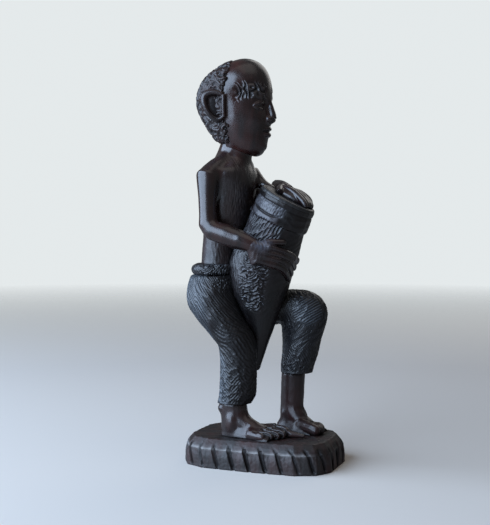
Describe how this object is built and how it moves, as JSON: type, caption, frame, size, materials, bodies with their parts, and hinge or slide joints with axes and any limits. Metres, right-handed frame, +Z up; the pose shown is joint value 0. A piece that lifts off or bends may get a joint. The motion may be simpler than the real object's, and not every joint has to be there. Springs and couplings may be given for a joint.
{
  "type": "carved wooden drummer figure",
  "caption": "Dark hardwood carving of a standing drummer, one knee raised, playing a hide-covered drum on a notched oval base; free-standing ornament.",
  "frame": {"origin": "on the resting surface, under the middle of the base", "axes": "+X the way the figure faces, along the base's length; +Y the figure's left; +Z up"},
  "size_m": [0.097, 0.066, 0.256],
  "materials": {
    "ebony_polished": "hand-polished dark ebony, near black with a faint reddish brown",
    "ebony_striated": "ebony carved with close gouge strokes that stand for striped cloth, satin",
    "ebony_knobbed": "ebony carved in small knobs for hair, matt in the hollows",
    "ebony_hide": "ebony with short gouge strokes that stand for a hairy hide, satin",
    "ebony_drum_skin": "smooth ebony, slightly greyer, for the drum skin",
    "ebony_base": "tool-marked ebony, browner and duller than the figure"
  },
  "bodies": {
    "root": {"base": "ebony_base", "right_foot": "ebony_polished", "left_foot": "ebony_polished", "right_trouser_leg": "ebony_striated", "left_trouser_leg": "ebony_striated", "waistband": "ebony_striated", "torso": "ebony_polished", "neck": "ebony_polished", "head": "ebony_polished", "hair": "ebony_knobbed", "right_ear": "ebony_polished", "left_ear": "ebony_polished", "right_upper_arm": "ebony_polished", "right_forearm": "ebony_polished", "right_hand": "ebony_polished", "left_upper_arm": "ebony_polished", "left_forearm": "ebony_polished", "left_hand": "ebony_polished", "drum_body": "ebony_hide", "drum_collar": "ebony_hide", "drum_skin": "ebony_drum_skin"}
  },
  "joints": []
}
